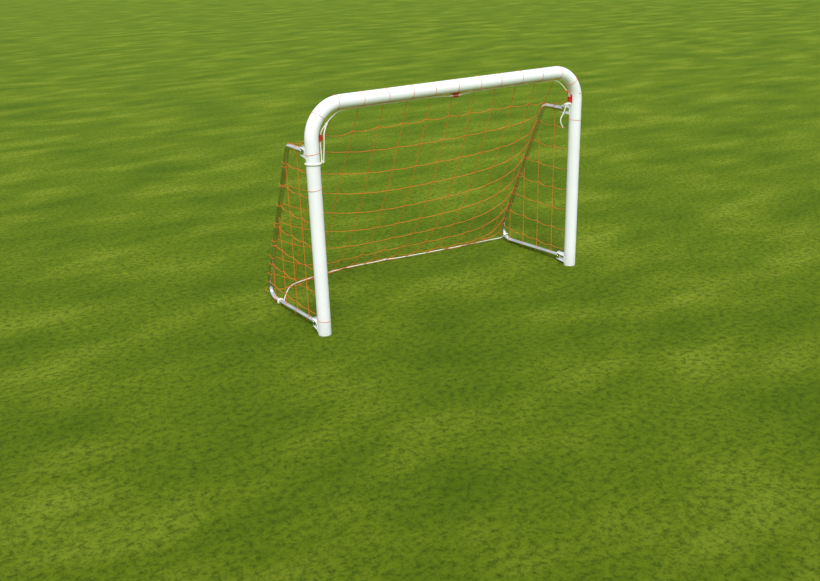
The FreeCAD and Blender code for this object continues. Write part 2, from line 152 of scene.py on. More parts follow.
# The settling of the net: steps, sweeps over the strands in each, fall in each, the share of the
# motion that is kept, and how far past its full share a strand is pulled back
HANG_STEPS = 260
HANG_SWEEPS = 24
HANG_FALL = 0.00015
HANG_MOTION = 0.97
HANG_EASE = 1.4

random.seed(7)


# ---------------------------------------------------------------------------------------------
# Camera, floor and light
# ---------------------------------------------------------------------------------------------

CAMERA_PLACE = (-2.814, POST_Y - 3.8072, 1.8839)
CAMERA_YAW = math.radians(33.17)
CAMERA_PITCH = math.radians(21.28)
CAMERA_ROLL = math.radians(-1.82)
CAMERA_LENS = 39.0


def make_camera():
    forward = Vector((math.sin(CAMERA_YAW) * math.cos(CAMERA_PITCH),
                      math.cos(CAMERA_YAW) * math.cos(CAMERA_PITCH),
                      -math.sin(CAMERA_PITCH)))
    level = Vector((math.cos(CAMERA_YAW), -math.sin(CAMERA_YAW), 0))
    upright = level.cross(forward)
    right = level * math.cos(CAMERA_ROLL) + upright * math.sin(CAMERA_ROLL)
    up = right.cross(forward)
    turn = Matrix((right, up, -forward)).transposed()
    data = bpy.data.cameras.new("camera")
    data.lens = CAMERA_LENS
    data.sensor_width = 36
    camera = bpy.data.objects.new("camera", data)
    camera.matrix_world = Matrix.Translation(CAMERA_PLACE) @ turn.to_4x4()
    bpy.context.collection.objects.link(camera)
    bpy.context.scene.camera = camera


def make_sky():
    """A bright sky over a dim horizon, and a soft sun from the front left."""
    world = bpy.data.worlds.new("sky")
    world.use_nodes = True
    tree = world.node_tree
    direction = tree.nodes.new("ShaderNodeTexCoord")
    split = tree.nodes.new("ShaderNodeSeparateXYZ")
    tree.links.new(direction.outputs["Generated"], split.inputs["Vector"])
    sky = add_ramp(tree, split.outputs["Z"],
                   [(0.0, (0.16, 0.22, 0.10)), (0.07, (0.45, 0.50, 0.48)), (0.18, (0.88, 0.93, 1.0))])
    background = tree.nodes["Background"]
    tree.links.new(sky, background.inputs["Color"])
    background.inputs["Strength"].default_value = 0.95
    bpy.context.scene.world = world
    bpy.context.scene.view_settings.view_transform = "Standard"
    sun = bpy.data.lights.new("sun", "SUN")
    sun.energy = 2.8
    sun.angle = math.radians(18)
    light = bpy.data.objects.new("sun", sun)
    light.rotation_euler = (math.radians(38), math.radians(-24), 0)
    bpy.context.collection.objects.link(light)


def make_floor():
    mesh = bpy.data.meshes.new("floor")
    half = 60.0
    mesh.from_pydata([(-half, -half, 0), (half, -half, 0), (half, half, 0), (-half, half, 0)],
                     [], [(0, 1, 2, 3)])
    floor = bpy.data.objects.new("floor", mesh)
    bpy.context.collection.objects.link(floor)
    floor.data.materials.append(mown_grass())


# ---------------------------------------------------------------------------------------------
# Materials
# ---------------------------------------------------------------------------------------------

def new_material(name):
    """An empty Principled material: its tree, its shader and its object coordinates."""
    material = bpy.data.materials.new(name)
    material.use_nodes = True
    tree = material.node_tree
    shader = tree.nodes["Principled BSDF"]
    coordinates = tree.nodes.new("ShaderNodeTexCoord")
    return material, tree, shader, coordinates


def add_noise(tree, coordinates, scale, detail=4.0, roughness=0.55, stretch=None):
    """A noise texture in object coordinates, optionally stretched along an axis."""
    noise = tree.nodes.new("ShaderNodeTexNoise")
    noise.inputs["Scale"].default_value = scale
    noise.inputs["Detail"].default_value = detail
    noise.inputs["Roughness"].default_value = roughness
    socket = coordinates.outputs["Object"]
    if stretch is not None:
        mapping = tree.nodes.new("ShaderNodeMapping")
        mapping.inputs["Scale"].default_value = stretch
        tree.links.new(socket, mapping.inputs["Vector"])
        socket = mapping.outputs["Vector"]
    tree.links.new(socket, noise.inputs["Vector"])
    return noise.outputs["Fac"]


def add_ramp(tree, value, stops):
    """A colour ramp over a value, from (position, colour) stops."""
    ramp = tree.nodes.new("ShaderNodeValToRGB")
    elements = ramp.color_ramp.elements
    while len(elements) < len(stops):
        elements.new(0.5)
    for element, (position, colour) in zip(elements, stops):
        element.position = position
        element.color = (*colour, 1.0)
    tree.links.new(value, ramp.inputs["Fac"])
    return ramp.outputs["Color"]


def add_range(tree, value, low, high, from_low=0.3, from_high=0.7):
    """A value from low to high as the input goes from one level to another."""
    remap = tree.nodes.new("ShaderNodeMapRange")
    remap.inputs["From Min"].default_value = from_low
    remap.inputs["From Max"].default_value = from_high
    remap.inputs["To Min"].default_value = low
    remap.inputs["To Max"].default_value = high
    tree.links.new(value, remap.inputs["Value"])
    return remap.outputs["Result"]


def add_mix(tree, factor, first, second):
    """Mix two colours, each a socket or an RGB tuple."""
    mix = tree.nodes.new("ShaderNodeMix")
    mix.data_type = "RGBA"
    tree.links.new(factor, mix.inputs["Factor"])
    for socket, colour in ((mix.inputs["A"], first), (mix.inputs["B"], second)):
        if isinstance(colour, tuple):
            socket.default_value = (*colour, 1.0)
        else:
            tree.links.new(colour, socket)
    return mix.outputs["Result"]


def add_bump(tree, shader, height, distance, strength=1.0):
    bump = tree.nodes.new("ShaderNodeBump")
    bump.inputs["Distance"].default_value = distance
    bump.inputs["Strength"].default_value = strength
    tree.links.new(height, bump.inputs["Height"])
    tree.links.new(bump.outputs["Normal"], shader.inputs["Normal"])


def height_above_ground(tree, coordinates):
    split = tree.nodes.new("ShaderNodeSeparateXYZ")
    tree.links.new(coordinates.outputs["Object"], split.inputs["Vector"])
    return split.outputs["Z"]


def add_multiply(tree, first, second):
    multiply = tree.nodes.new("ShaderNodeMath")
    multiply.operation = "MULTIPLY"
    tree.links.new(first, multiply.inputs[0])
    tree.links.new(second, multiply.inputs[1])
    return multiply.outputs[0]


def powder_coat():
    """White powder coat: orange-peel gloss, faint clouding, rubbed marks, dull dust at the feet."""
    material, tree, shader, coordinates = new_material("powder_coat_white")
    cloud = add_noise(tree, coordinates, 5.0)
    colour = add_ramp(tree, cloud, [(0.35, (0.86, 0.865, 0.88)), (0.65, (0.91, 0.91, 0.92))])
    marks = add_noise(tree, coordinates, 38.0, 6.0, 0.7, stretch=(1.0, 1.0, 0.18))
    mark_mask = add_range(tree, marks, 0.0, 0.5, 0.70, 0.78)
    colour = add_mix(tree, mark_mask, colour, (0.50, 0.50, 0.49))
    near_ground = add_range(tree, height_above_ground(tree, coordinates), 0.40, 0.0, 0.0, 0.10)
    dust = add_multiply(tree, near_ground, add_noise(tree, coordinates, 26.0, 5.0))
    colour = add_mix(tree, dust, colour, (0.36, 0.37, 0.25))
    tree.links.new(colour, shader.inputs["Base Color"])
    tree.links.new(add_range(tree, cloud, 0.20, 0.32), shader.inputs["Roughness"])
    add_bump(tree, shader, add_noise(tree, coordinates, 420.0, 2.0), 0.00012, 0.35)
    shader.inputs["Coat Weight"].default_value = 0.35
    shader.inputs["Coat Roughness"].default_value = 0.08
    return material


def bright_steel():
    """Bright-plated steel: mirror-like, with drawn streaks and soft grey staining."""
    material, tree, shader, coordinates = new_material("bright_plated_steel")
    stain = add_noise(tree, coordinates, 9.0, 5.0)
    colour = add_ramp(tree, stain, [(0.30, (0.56, 0.58, 0.56)), (0.70, (0.80, 0.82, 0.81))])
    tree.links.new(colour, shader.inputs["Base Color"])
    streaks = add_noise(tree, coordinates, 60.0, 3.0, stretch=(1.0, 0.15, 0.15))
    tree.links.new(add_range(tree, streaks, 0.13, 0.26), shader.inputs["Roughness"])
    add_bump(tree, shader, streaks, 0.0001, 0.25)
    shader.inputs["Metallic"].default_value = 1.0
    return material


def zinc_plate():
    """Zinc-plated fasteners: crystalline grey patches, duller than the bars."""
    material, tree, shader, coordinates = new_material("zinc_plate")
    crystals = tree.nodes.new("ShaderNodeTexVoronoi")
    crystals.inputs["Scale"].default_value = 420.0
    tree.links.new(coordinates.outputs["Object"], crystals.inputs["Vector"])
    colour = add_ramp(tree, crystals.outputs["Distance"],
                      [(0.0, (0.56, 0.57, 0.58)), (0.9, (0.70, 0.71, 0.70))])
    tree.links.new(colour, shader.inputs["Base Color"])
    tree.links.new(add_range(tree, crystals.outputs["Distance"], 0.28, 0.42, 0.0, 1.0),
                   shader.inputs["Roughness"])
    shader.inputs["Metallic"].default_value = 0.9
    return material


def plain_aluminium():
    """Rivet heads: soft grey metal, lightly scratched."""
    material, tree, shader, coordinates = new_material("plain_aluminium")
    scratches = add_noise(tree, coordinates, 300.0, 4.0, 0.7)
    colour = add_ramp(tree, scratches, [(0.3, (0.66, 0.66, 0.67)), (0.7, (0.80, 0.80, 0.81))])
    tree.links.new(colour, shader.inputs["Base Color"])
    tree.links.new(add_range(tree, scratches, 0.30, 0.50), shader.inputs["Roughness"])
    shader.inputs["Metallic"].default_value = 1.0
    return material


def moulded_plastic(name, dark, light, roughness):
    """Moulded plastic: even colour with a slight flow pattern and a fine grain."""
    material, tree, shader, coordinates = new_material(name)
    flow = add_noise(tree, coordinates, 70.0, 3.0)
    tree.links.new(add_ramp(tree, flow, [(0.3, dark), (0.7, light)]), shader.inputs["Base Color"])
    tree.links.new(add_range(tree, flow, roughness, roughness + 0.14), shader.inputs["Roughness"])
    add_bump(tree, shader, add_noise(tree, coordinates, 900.0, 2.0), 0.0001, 0.3)
    return material


def twisted_yarn(name, dark, light, turns, roughness):
    """Yarn twisted along a strand, with painted shade in its grooves: its UV map runs along the
    strand and round it.
    """
    material, tree, shader, coordinates = new_material(name)
    wave = tree.nodes.new("ShaderNodeTexWave")
    wave.wave_type = "BANDS"
    wave.bands_direction = "DIAGONAL"
    wave.inputs["Scale"].default_value = 1.0
    mapping = tree.nodes.new("ShaderNodeMapping")
    mapping.inputs["Scale"].default_value = (turns, turns, 0.0)
    tree.links.new(coordinates.outputs["UV"], mapping.inputs["Vector"])
    tree.links.new(mapping.outputs["Vector"], wave.inputs["Vector"])
    fade = add_noise(tree, coordinates, 14.0, 4.0)
    faded = add_ramp(tree, fade, [(0.32, dark), (0.68, light)])
    # The grooves of the twist are darkened towards a dimmer copy of the dark colour: painted shade in
    # the grooves.
    shade = tuple(0.62 * part for part in dark)
    groove_shade_mask = add_range(tree, wave.outputs["Fac"], 0.45, 0.0, 0.0, 0.5)
    tree.links.new(add_mix(tree, groove_shade_mask, faded, shade), shader.inputs["Base Color"])
    tree.links.new(add_range(tree, fade, roughness, roughness + 0.15), shader.inputs["Roughness"])
    add_bump(tree, shader, wave.outputs["Fac"], 0.0004, 0.8)
    return material


def mown_grass():
    """The lawn it stands on: patches of three greens, broken up by fine blades with painted shade
    between them.
    """
    material, tree, shader, coordinates = new_material("mown_grass")
    patches = add_noise(tree, coordinates, 2.2, 5.0, stretch=(0.5, 1.0, 1.0))
    lawn = add_ramp(tree, patches, [(0.32, (0.095, 0.165, 0.005)), (0.52, (0.150, 0.225, 0.008)),
                                    (0.72, (0.250, 0.320, 0.022))])
    blades = add_noise(tree, coordinates, 32.0, 10.0, 0.85)
    # Where the blade noise is low, as the bump is there too, the lawn is darkened towards near-black
    # green: painted shade between the blades.
    shade = add_range(tree, blades, 0.85, 0.0, 0.40, 0.54)
    tree.links.new(add_mix(tree, shade, lawn, (0.035, 0.075, 0.004)), shader.inputs["Base Color"])
    shader.inputs["Roughness"].default_value = 0.9
    shader.inputs["Specular IOR Level"].default_value = 0.05
    add_bump(tree, shader, blades, 0.02, 0.9)
    return material


# ---------------------------------------------------------------------------------------------
# Tubes of twine and rope
# ---------------------------------------------------------------------------------------------

def smooth_line(points, parts):
    """A Catmull-Rom line through the points, each gap divided into parts."""
    if len(points) < 3:
        return list(points)
    ends = [points[0] * 2 - points[1], *points, points[-1] * 2 - points[-2]]
    line = []
    for a, b, c, d in zip(ends, ends[1:], ends[2:], ends[3:]):
        for step in range(parts):
            t = step / parts
            line.append(0.5 * (2 * b + (c - a) * t + (2 * a - 5 * b + 4 * c - d) * t * t
                               + (3 * b - a - 3 * c + d) * t * t * t))
    line.append(points[-1].copy())
    return line


def even_line(points, step):
    """The same line with its points an even step apart."""
    distances = [0.0]
    for before, after in zip(points, points[1:]):
        distances.append(distances[-1] + (after - before).length)
    count = max(2, round(distances[-1] / step))
    line = []
    i = 0
    for k in range(count + 1):
        target = distances[-1] * k / count
        while i < len(points) - 2 and distances[i + 1] < target:
            i += 1
        gap = distances[i + 1] - distances[i]
        line.append(points[i].lerp(points[i + 1], (target - distances[i]) / gap if gap else 0.0))
    return line


class Strands:
    """Collects tubes of twine or rope, and makes one mesh object of them."""

    def __init__(self):
        self.points = []
        self.faces = []
        self.uvs = []

    def tube(self, line, radius, sides=6, closed=False, lay=None):
        """A tube along a line. lay(distance, angle) gives the radius as a share of the full one."""
        count = len(line)
        first = len(self.points)
        side = None
        distance = 0.0
        along = []
        for k in range(count):
            if closed:
                direction = (line[(k + 1) % count] - line[k - 1]).normalized()
            else:
                direction = (line[min(k + 1, count - 1)] - line[max(k - 1, 0)]).normalized()
            if side is None:
                side = direction.orthogonal().normalized()
            side = (side - direction * side.dot(direction)).normalized()
            other = direction.cross(side)
            if k:
                distance += (line[k] - line[k - 1]).length
            along.append(distance)
            for s in range(sides):
                angle = 2 * math.pi * s / sides
                share = lay(distance, angle) if lay else 1.0
                offset = side * math.cos(angle) + other * math.sin(angle)
                self.points.append(line[k] + offset * (radius * share))
        girth = 2 * math.pi * radius
        if closed:
            along.append(distance + (line[0] - line[-1]).length)
        for k in range(count if closed else count - 1):
            here = first + k * sides
            there = first + (k + 1) % count * sides
            for s in range(sides):
                t = (s + 1) % sides
                self.faces.append((here + s, here + t, there + t, there + s))
                u0, u1 = along[k] / girth, along[k + 1] / girth
                v0, v1 = s / sides, (s + 1) / sides
                self.uvs += [(u0, v0), (u0, v1), (u1, v1), (u1, v0)]
        if not closed:
            last = first + (count - 1) * sides
            for ring in (range(first + sides - 1, first - 1, -1), range(last, last + sides)):
                self.faces.append(tuple(ring))
                self.uvs += [(0.0, 0.0)] * sides

    def knot(self, centre, size, radius, turn, sides=6, parts=30, lay=None):
        """A lump of three crossing turns, flattened a little, as a tightened knot looks."""
        line = []
        for k in range(parts):
            t = 2 * math.pi * k / parts
            x = math.sin(t) + 2 * math.sin(2 * t)
            y = math.cos(t) - 2 * math.cos(2 * t)
            z = -1.6 * math.sin(3 * t)
            line.append(centre + turn @ Vector((x, y, z)) * (size / 6))
        self.tube(line, radius, sides, closed=True, lay=lay)

    def to_object(self, name, material):
        mesh = bpy.data.meshes.new(name)
        mesh.from_pydata([tuple(point) for point in self.points], [], self.faces)
        layer = mesh.uv_layers.new(name="strand")
        layer.data.foreach_set("uv", [part for uv in self.uvs for part in uv])
        mesh.polygons.foreach_set("use_smooth", [len(face) == 4 for face in self.faces])
        mesh.materials.append(material)
        made = bpy.data.objects.new(name, mesh)
        bpy.context.collection.objects.link(made)
        return made


def braid(distance, angle):
    """The diamond relief of a braided rope."""
    lengthways = 2 * math.pi * distance / BRAID_PITCH
    crossing = math.cos(2 * angle + lengthways) * math.cos(2 * angle - lengthways)
    return 0.93 + 0.07 * crossing


def ring_round(centre, axis, radius, parts=28, wobble=0.0, tilt=0.0):
    """A closed ring of points round a bar."""
    axis = Vector(axis).normalized()
    side = axis.orthogonal().normalized()
    other = axis.cross(side)
    phase = random.uniform(0, 2 * math.pi)
    points = []
    for k in range(parts):
        angle = 2 * math.pi * k / parts
        reach = radius * (1 + wobble * (1 + math.sin(2 * angle + phase)) / 2)
        points.append(Vector(centre) + (side * math.cos(angle) + other * math.sin(angle)) * reach
                      + axis * (tilt * math.sin(angle + phase)))
    return points


def turns_round(centre, axis, radius, turns, pitch):
    """An open helix of points round a bar."""
    axis = Vector(axis).normalized()
    side = axis.orthogonal().normalized()
    other = axis.cross(side)
    steps = 24 * turns
    points = []
    for k in range(steps + 1):
        angle = 2 * math.pi * turns * k / steps
        rise = pitch * turns * (k / steps - 0.5)
        points.append(Vector(centre) + (side * math.cos(angle) + other * math.sin(angle)) * radius
                      + axis * rise)
    return points


def random_turn():
    return Matrix.Rotation(random.uniform(0, 2 * math.pi), 3, "Z") @ Matrix.Rotation(
        random.uniform(0, 2 * math.pi), 3, "X")


# ---------------------------------------------------------------------------------------------
# Ropes
# ---------------------------------------------------------------------------------------------

def from_post(x, y, z):
    """A place given from the posts' plane, as the design gives it."""
    return Vector((x, POST_Y + y, z))


ROPE_Z = 0.0037
KNOT_Z = 0.0074
LEFT_GROUND_ROUTE = [
    (-0.8418, 0.5263, 0.0099), (-0.8375, 0.536, 0.0055), (-0.829, 0.552, ROPE_Z),
    (-0.793, 0.610, ROPE_Z), (-0.744, 0.680, ROPE_Z), (-0.700, 0.733, ROPE_Z),
    (-0.655, 0.760, ROPE_Z), (-0.600, 0.773, ROPE_Z), (-0.520, 0.787, ROPE_Z),
    (-0.430, 0.802, ROPE_Z), (-0.345, 0.809, ROPE_Z), (-0.265, 0.810, ROPE_Z),
    (-0.190, 0.804, ROPE_Z), (-0.120, 0.795, ROPE_Z), (-0.062, 0.786, 0.0046),
    (-0.012, 0.779, KNOT_Z)]
RIGHT_GROUND_ROUTE = [
    (0.865, 0.645, 0.020), (0.864, 0.657, 0.013), (0.858, 0.668, 0.006), (0.845, 0.674, ROPE_Z),
    (0.820, 0.679, ROPE_Z), (0.770, 0.684, ROPE_Z), (0.695, 0.690, ROPE_Z), (0.606, 0.698, ROPE_Z),
    (0.507, 0.707, ROPE_Z), (0.408, 0.719, ROPE_Z), (0.310, 0.731, ROPE_Z), (0.212, 0.744, ROPE_Z),
    (0.124, 0.757, ROPE_Z), (0.062, 0.767, 0.0050), (0.012, 0.775, KNOT_Z)]
TAIL_X = POST_X - ROPE_OFFSET + KNOT_RADIUS - KNOT_LENGTH
TAIL_ROUTE = [
    (TAIL_X + 0.005, 0.0, TAIL_KNOT_Z - KNOT_RADIUS - 0.0003),
    (TAIL_X + 0.003, 0.001, TAIL_KNOT_Z - 0.030), (TAIL_X - 0.005, 0.005, TAIL_KNOT_Z - 0.054),
    (TAIL_X - 0.021, 0.009, TAIL_KNOT_Z - 0.077), (TAIL_X - 0.024, 0.007, TAIL_KNOT_Z - 0.104),
    (TAIL_X - 0.008, 0.002, TAIL_KNOT_Z - 0.133)]

# The rope inside the U: up from its hitch, through the left hook, straight across the bend, held
# up against the crossbar by the lacing each side of the middle hook, and down to its knot
ROPE_X = POST_X - ROPE_OFFSET
UNDER_BAR_Z = CROSSBAR_Z - ROPE_OFFSET
HALF_BORDER = [
    (0.8180, 0.0, 0.990), (0.8165, 0.0, 1.020), (0.8135, 0.0, 1.052), (0.780, 0.0, 1.086),
    (0.746, 0.0, 1.120), (0.700, 0.0, 1.1435), (0.600, 0.0, 1.1460), (0.420, 0.0, 1.1450),
    (0.210, 0.0, 1.1460), (0.100, 0.0, 1.1430), (0.040, 0.0, UNDER_BAR_Z)]
BORDER_ROUTE = ([(-ROPE_X, 0.0, HITCH_Z + ROPE_RADIUS), (-ROPE_X, 0.0, 0.945)]
                + [(-x, y, z) for x, y, z in HALF_BORDER] + HALF_BORDER[::-1]
                + [(ROPE_X, 0.0, TAIL_KNOT_Z)])
DOUBLED_ROUTE = [
    (-0.808, -0.004, 0.909), (-0.806, -0.007, 0.950), (-0.803, -0.011, 0.990),
    (-0.8025, -0.0125, 1.026), (-0.800, -0.011, 1.048), (-0.786, -0.006, 1.075),
    (-0.778, -0.001, 1.087)]
DOUBLED_KNOT = (-0.779, 0, 1.087)


def spline_line(name, route):
    """Points read from the smooth spline that a route's points control."""
    curve = bpy.data.curves.new(name, "CURVE")
    curve.dimensions = "3D"
    curve.resolution_u = 10
    spline = curve.splines.new("NURBS")
    spline.points.add(len(route) - 1)
    for point, place in zip(spline.points, route):
        point.co = (*from_post(*place), 1.0)
    spline.order_u = 3
    spline.use_endpoint_u = True
    holder = bpy.data.objects.new(name, curve)
    mesh = bpy.data.meshes.new_from_object(holder)
    line = [vertex.co.copy() for vertex in mesh.vertices]
    bpy.data.objects.remove(holder)
    bpy.data.curves.remove(curve)
    bpy.data.meshes.remove(mesh)
    return line


def braided_tube(strands, line, closed=False):
    strands.tube(line, ROPE_RADIUS, ROPE_SIDES, closed=closed, lay=braid)


def rope_knot(strands, place, size):
    strands.knot(Vector(place), size, ROPE_RADIUS, random_turn(), ROPE_SIDES, ROPE_KNOT_PARTS,
                 lay=braid)


def rope_piece(strands, node_name, material):
    """Make one object of the rope, to stand for a node of the design."""
    piece = strands.to_object(node_name + "_braid", material)
    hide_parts(node_name)
    return piece


def free_rope(node_name, line, material):
    """A braided rope along one line."""
    strands = Strands()
    braided_tube(strands, even_line(line, ROPE_STEP))
    return rope_piece(strands, node_name, material)


def make_ground_rope(side_name, route, material):
    """One half of the rope on the ground: tied to a side frame, knotted at its inner end."""
    line = spline_line(side_name + "_ground_route", route)
    rope = free_rope(side_name + "_ground_rope", line, material)
    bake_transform(rope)
    return line


def make_tail(material):
    line = spline_line("tail_route", TAIL_ROUTE)
    tail = free_rope("border_rope_tail", line, material)
    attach(tail, "main_frame")


def make_border_rope(material):
    """The rope inside the U, doubled beside the left hook, with its hitch and its knots."""
    strands = Strands()
    for name, route in (("border_route", BORDER_ROUTE), ("doubled_route", DOUBLED_ROUTE)):
        braided_tube(strands, even_line(spline_line(name, route), ROPE_STEP))
    rope_knot(strands, from_post(*DOUBLED_KNOT), 0.009)
    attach(rope_piece(strands, "border_rope", material), "main_frame")

    strands = Strands()
    ring = ring_round(from_post(-POST_X, 0, HITCH_Z), (0.04, 0, 1), POST_RADIUS + ROPE_RADIUS, 120)
    braided_tube(strands, ring, closed=True)
    rope_knot(strands, from_post(-ROPE_X + 0.003, 0, HITCH_Z), 0.014)
    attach(rope_piece(strands, "border_rope_hitch", material), "main_frame")

    strands = Strands()
    for x, rise, size in ((ROPE_X, 0.0, 0.013), (ROPE_X - 0.013, 0.001, 0.015),
                          (TAIL_X + 0.009, 0.0, 0.013)):
        rope_knot(strands, from_post(x, 0, TAIL_KNOT_Z + rise), size)
    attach(rope_piece(strands, "border_rope_knot", material), "main_frame")


def make_ground_knot(material):
    """Two crossed loops pulled tight, where the halves of the ground rope meet."""
    low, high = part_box("ground_rope_knot")
    middle = (Vector(low) + Vector(high)) / 2
    strands = Strands()
    for offset in (-0.005, 0.005):
        rope_knot(strands, middle + Vector((offset, 0, 0.0005)), 0.010)
    knot = rope_piece(strands, "ground_rope_knot", material)
    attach(knot, "main_frame")
    return knot


def foot_bend_middle():
    """The point of the low rear bend's axis that is half-way round to the ground, as (Y, Z)."""
    corner = Vector(FOOT_CORNER)
    up_slant = (Vector(TOP_CORNER) - corner).normalized()
    along_foot = (Vector((HINGE_Y, FOOT_HINGE_Z)) - corner).normalized()
    half_angle = up_slant.angle(along_foot) / 2
    centre = corner + (up_slant + along_foot).normalized() * FOOT_BEND_RADIUS / math.sin(half_angle)
    return centre + Vector((1, -1)).normalized() * FOOT_BEND_RADIUS


def make_foot_tie(side, side_name, material):
    """Rope over the bar, thin lashing round both, and the knot that the ground rope leaves from."""
    if side < 0:
        centre = Vector((side * POST_X, LEFT_TIE_Y, foot_bar_z(LEFT_TIE_Y)))
        axis = Vector(FOOT_DIRECTION).normalized()
        outward = Vector((1, 0, 0))
    else:
        centre = Vector((side * POST_X, *foot_bend_middle()))
        axis = Vector((0, 1, 1)).normalized()
        outward = Vector((0, 1, -1)).normalized()
    strands = Strands()
    across = Vector((1, 0, 0))
    over = across.cross(axis)
    reach = BAR_RADIUS + ROPE_RADIUS
    arc = []
    for step in range(TIE_STEPS + 1):
        angle = math.radians(TIE_START + TIE_SWEEP * step / TIE_STEPS)
        arc.append(centre + (across * math.cos(angle) + over * math.sin(angle)) * reach)
    braided_tube(strands, arc)
    rope_knot(strands, centre + outward * (reach + 0.001), 0.009)
    lashing = turns_round(centre, axis, BAR_RADIUS + LASHING_RADIUS, 4, 2.2 * LASHING_RADIUS)
    strands.tube(lashing, LASHING_RADIUS)
    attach(rope_piece(strands, side_name + "_foot_tie", material), side_name + "_side_frame")


# ---------------------------------------------------------------------------------------------
# Weld beads
# ---------------------------------------------------------------------------------------------

def ripple(distance, angle):
    """The overlapping scales of a weld bead, the same all round it."""
    return 0.85 + 0.15 * abs(math.sin(math.pi * distance / SCALE_PITCH))


def make_eye_welds(side, side_name, material):
    """The beads round the side tube's ends, where they meet the round hinge eyes."""
    strands = Strands()
    for z in (TOP_BAR_Z, FOOT_HINGE_Z):
        seam = []
        for step in range(EYE_WELD_PARTS):
            angle = 2 * math.pi * step / EYE_WELD_PARTS
            x = BAR_RADIUS * math.cos(angle)
            seam.append(Vector((side * POST_X + x, HINGE_Y + math.sqrt(EYE_RADIUS ** 2 - x ** 2),
                                z + BAR_RADIUS * math.sin(angle))))
        strands.tube(seam, EYE_WELD_RADIUS, WELD_SIDES, closed=True, lay=ripple)
    welds = strands.to_object(side_name + "_eye_welds", material)
    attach(welds, side_name + "_side_frame")


def make_bracket_welds(material):
    """Painted beads down both edges of each bracket's saddle."""
    strands = Strands()
    reach = POST_RADIUS + SADDLE_WELD_OFFSET
    for node_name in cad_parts:
        if "bracket" not in node_name:
            continue
        low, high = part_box(node_name)
        centre_x = (low[0] + high[0]) / 2
        for side in (-1, 1):
            x = centre_x + side * reach * math.cos(SADDLE_EDGE_ANGLE)
            y = POST_Y + reach * math.sin(SADDLE_EDGE_ANGLE) - SADDLE_WELD_FORWARD
            seam = [Vector((x, y, low[2] + 0.001)), Vector((x, y, high[2] - 0.001))]
            seam = even_line(seam, SADDLE_WELD_STEP)
            strands.tube(seam, SADDLE_WELD_RADIUS, WELD_SIDES, lay=ripple)
    welds = strands.to_object("bracket_welds", material)
    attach(welds, "main_frame")


# ---------------------------------------------------------------------------------------------
# Net
# ---------------------------------------------------------------------------------------------

def slant_y(z):
    """Where the slanted bar's axis is at a height."""
    fall = (TOP_CORNER[1] - z) / (TOP_CORNER[1] - FOOT_CORNER[1])
    return TOP_CORNER[0] + fall * (FOOT_CORNER[0] - TOP_CORNER[0])


def foot_bar_z(y):
    along = (y - HINGE_Y) / (FOOT_CORNER[0] - HINGE_Y)
    return FOOT_HINGE_Z + along * (FOOT_CORNER[1] - FOOT_HINGE_Z)


def crossbar_axis(x):
    """The main tube's axis above a place on the ground, round the bends too."""
    across = abs(x) - BEND_X
    if across <= 0:
        return Vector((x, POST_Y, CROSSBAR_Z))
    return Vector((x, POST_Y, BEND_Z + math.sqrt(max(0.0, BEND_RADIUS ** 2 - across ** 2))))


def rope_place(line, x):
    """The point of a ground rope that is at a place across the goal."""
    return min(line, key=lambda point: abs(point.x - x)).copy()


class Net:
    """Knots and strands, held at some of them, and let sag under their own weight."""

    def __init__(self):
        self.places = []
        self.held = []
        self.links = []
        self.slack = []
        self.strands = []

    def add(self, place, held=False):
        self.places.append(Vector(place))
        self.held.append(held)
        return len(self.places) - 1

    def tie(self, first, last, slack=CROSS_SLACK, parts=STRAND_PARTS):
        """A strand between two knots, in a few parts so that it can droop."""
        if slack > 0:
            slack += random.uniform(-UNEVEN, UNEVEN)
        chain = [first]
        for part in range(1, parts):
            chain.append(self.add(self.places[first].lerp(self.places[last], part / parts)))
        chain.append(last)
        for a, b in zip(chain, chain[1:]):
            self.links.append((a, b))
            self.slack.append(slack)
        self.strands.append(chain)

    def hang(self):
        """Settle the net: gravity, and strands that pull but never push."""
        steps = HANG_STEPS
        here = np.array([tuple(place) for place in self.places])
        free = 1.0 - np.array(self.held, dtype=float)
        first, last = np.array(self.links).T
        lengths = np.linalg.norm(here[last] - here[first], axis=1) * (1 + np.array(self.slack))
        shares = np.maximum(free[first] + free[last], 1.0)
        pulls = np.bincount(first, minlength=len(here)) + np.bincount(last, minlength=len(here))
        ease = HANG_EASE / np.maximum(pulls, 2)
        before = here.copy()
        for _ in range(steps):
            moving = here + (here - before) * HANG_MOTION * free[:, None]
            moving[:, 2] -= HANG_FALL * free
            before = here
            for _ in range(HANG_SWEEPS):
                gap = moving[last] - moving[first]
                reach = np.linalg.norm(gap, axis=1)
                over = np.maximum(reach - lengths, 0.0) / np.maximum(reach, 1e-6) / shares
                pull = gap * over[:, None]
                for axis in range(3):
                    move = (np.bincount(first, pull[:, axis], len(here))
                            - np.bincount(last, pull[:, axis], len(here)))
                    moving[:, axis] += move * free * ease
            moving[:, 2] = np.maximum(moving[:, 2], TWINE_RADIUS)
            here = moving
        self.places = [Vector(place) for place in here]


def hem_place(x, ropes):
    left_line, right_line = ropes
    return rope_place(left_line if x < 0 else right_line, x)


def edge_places(side):
    """Where the rear net's side edge is held: from the post, over the corner, down the bar."""
    inward = -side * (BAR_RADIUS + TWINE_RADIUS)
    top = Vector((side * POST_X, POST_Y + POST_RADIUS + TWINE_RADIUS, BEND_Z + 0.01))
    corner = Vector((side * POST_X, TOP_CORNER[0] - 0.01, TOP_BAR_Z + BAR_RADIUS + TWINE_RADIUS))
    places = [top, top.lerp(corner, 0.5) + Vector((0, 0, -0.01)), corner]
    for row in range(CORNER_ROW + 1, ROWS + 1):
        z = TOP_BAR_Z + (row - CORNER_ROW) / (ROWS - CORNER_ROW) * (EDGE_LOW_Z - TOP_BAR_Z)
        places.append(Vector((side * POST_X + inward, slant_y(z), z)))
    return places


